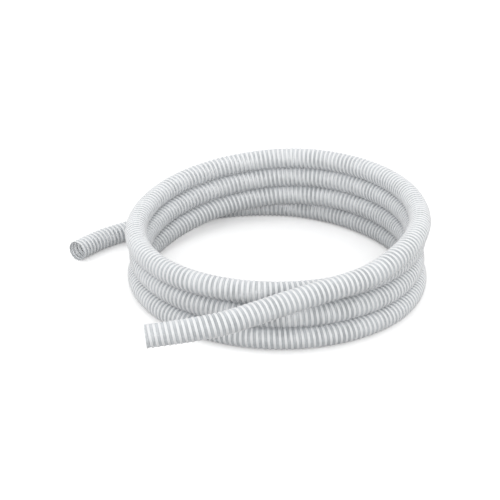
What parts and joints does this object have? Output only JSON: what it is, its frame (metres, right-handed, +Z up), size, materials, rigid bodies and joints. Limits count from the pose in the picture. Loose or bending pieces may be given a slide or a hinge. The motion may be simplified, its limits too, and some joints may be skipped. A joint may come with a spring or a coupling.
{
  "type": "spiral vacuum hose",
  "caption": "Loose coil of clear flexible suction hose with a rigid white spiral, laid turn on turn, with both ends cut square.",
  "frame": {"origin": "on the ground, under the middle of the whole piece, coil and loose ends together", "axes": "+Z up, -Y towards the front loose end's side, +X to the right seen from the front"},
  "size_m": [0.5197, 0.5515, 0.1252],
  "materials": {
    "soft_wall": "clear flexible PVC",
    "coiled_hose": "clear flexible PVC banded with white",
    "rigid_spiral": "white rigid PVC"
  },
  "bodies": {
    "root": {"rear_soft_wall": "soft_wall", "front_soft_wall": "soft_wall", "coiled_hose": "coiled_hose", "rigid_spiral": "rigid_spiral"}
  },
  "joints": []
}
